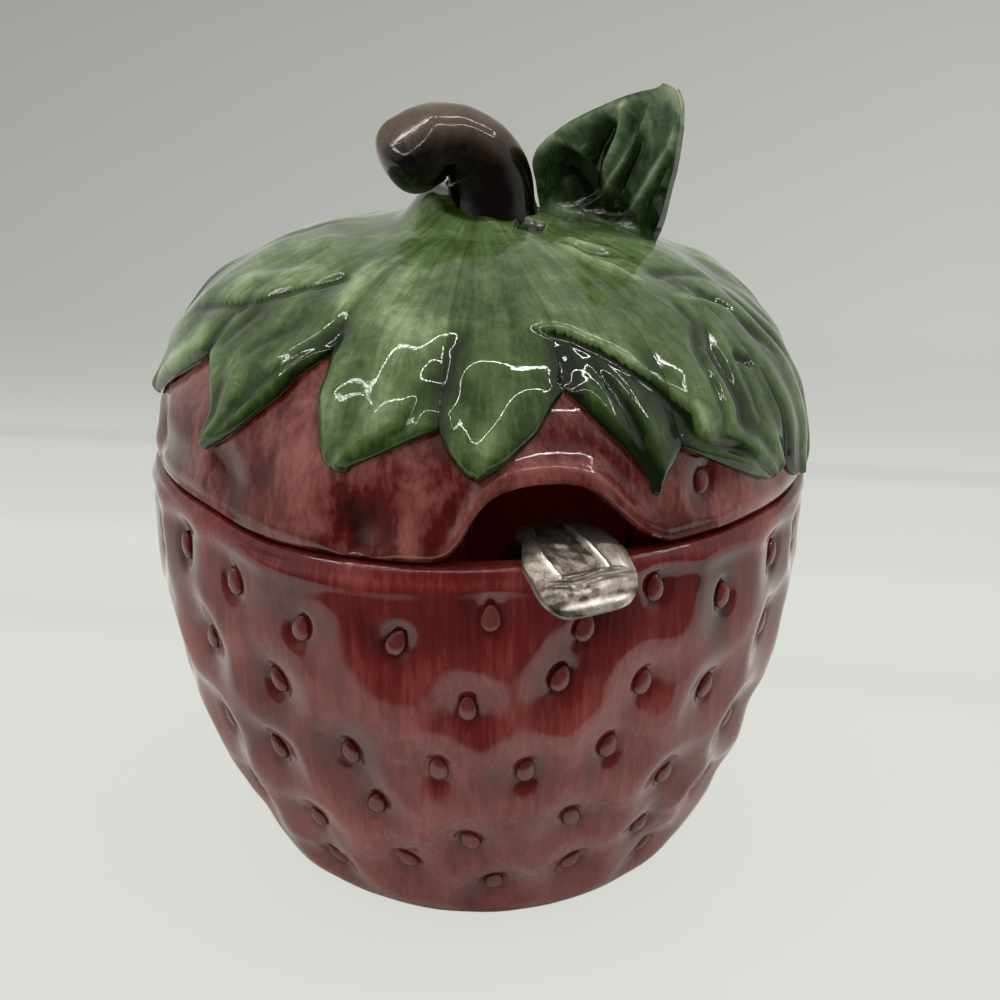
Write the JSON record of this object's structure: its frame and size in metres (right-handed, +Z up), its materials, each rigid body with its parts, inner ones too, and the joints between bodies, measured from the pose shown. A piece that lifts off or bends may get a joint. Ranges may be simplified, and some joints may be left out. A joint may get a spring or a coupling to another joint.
{
  "type": "strawberry jam pot",
  "caption": "Lidded glazed jam pot shaped like a strawberry, with a leaf calyx, a bent stem knob, and a spoon hooked over the rim through a notch in the lid.",
  "frame": {"origin": "centre of the foot, on the plane the pot stands on", "axes": "+Z up along the pot's axis; -Y towards the spoon notch in the lid; +X to the right for someone facing the notch"},
  "size_m": [0.1048, 0.1136, 0.1287],
  "materials": {
    "red_glaze": "glossy clear glaze over brushed red",
    "green_glaze": "glossy clear glaze over brushed green",
    "brown_glaze": "glossy dark brown glaze",
    "spoon_metal": "satin with darkened recess"
  },
  "bodies": {
    "pot": {"pot": "red_glaze"},
    "lid": {"lid": "red_glaze", "calyx_crown": "green_glaze", "calyx_leaf_01": "green_glaze", "calyx_leaf_02": "green_glaze", "calyx_leaf_03": "green_glaze", "calyx_leaf_04": "green_glaze", "calyx_leaf_05": "green_glaze", "calyx_leaf_06": "green_glaze", "calyx_leaf_07": "green_glaze", "calyx_leaf_08": "green_glaze", "calyx_leaf_09": "green_glaze", "calyx_leaf_10": "green_glaze", "calyx_leaf_11": "green_glaze", "calyx_leaf_12": "green_glaze", "calyx_leaf_13": "green_glaze", "calyx_leaf_14": "green_glaze", "stem_knob": "brown_glaze", "standing_leaf": "green_glaze"},
    "spoon": {"spoon": "spoon_metal"}
  },
  "joints": [
    {"name": "lid_lift", "type": "slide", "parent": "pot", "child": "lid", "axis": [0, 0, 1], "range_m": [0, 0.08]},
    {"name": "spoon_draw", "type": "slide", "parent": "pot", "child": "spoon", "axis": [0.1593, -0.7493, 0.6428], "range_m": [0, 0.036]}
  ]
}
